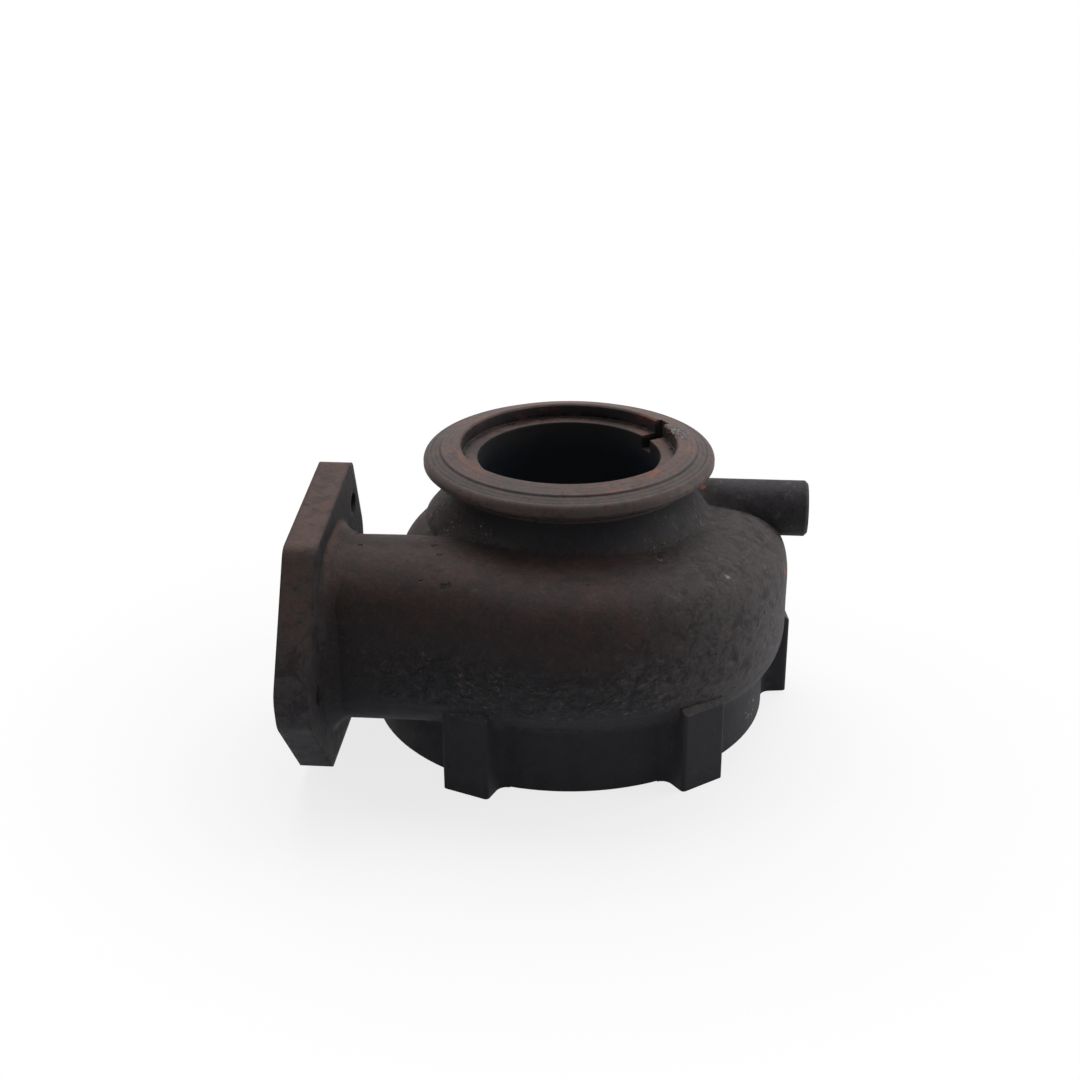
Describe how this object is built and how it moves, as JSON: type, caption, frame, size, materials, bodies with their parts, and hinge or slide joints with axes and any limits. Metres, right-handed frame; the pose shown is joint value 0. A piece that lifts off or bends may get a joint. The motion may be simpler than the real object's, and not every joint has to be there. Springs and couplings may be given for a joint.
{
  "type": "turbocharger turbine housing",
  "caption": "Cast-iron turbine housing with a spiral volute, tangential inlet duct and flange, clamp-rim outlet neck and a bossed drum for the centre housing.",
  "frame": {"origin": "on the turbine axis, in the plane of the machined foot that meets the centre housing", "axes": "+Z along the turbine axis towards the exhaust outlet, -X out of the inlet flange; the gas turns anticlockwise seen from +Z"},
  "size_m": [0.155, 0.1569, 0.0888],
  "materials": {
    "cast_iron": "rough sand-cast iron, heat-darkened with a thin brown rust bloom"
  },
  "bodies": {
    "root": {"turbine_housing": "cast_iron"}
  },
  "joints": []
}
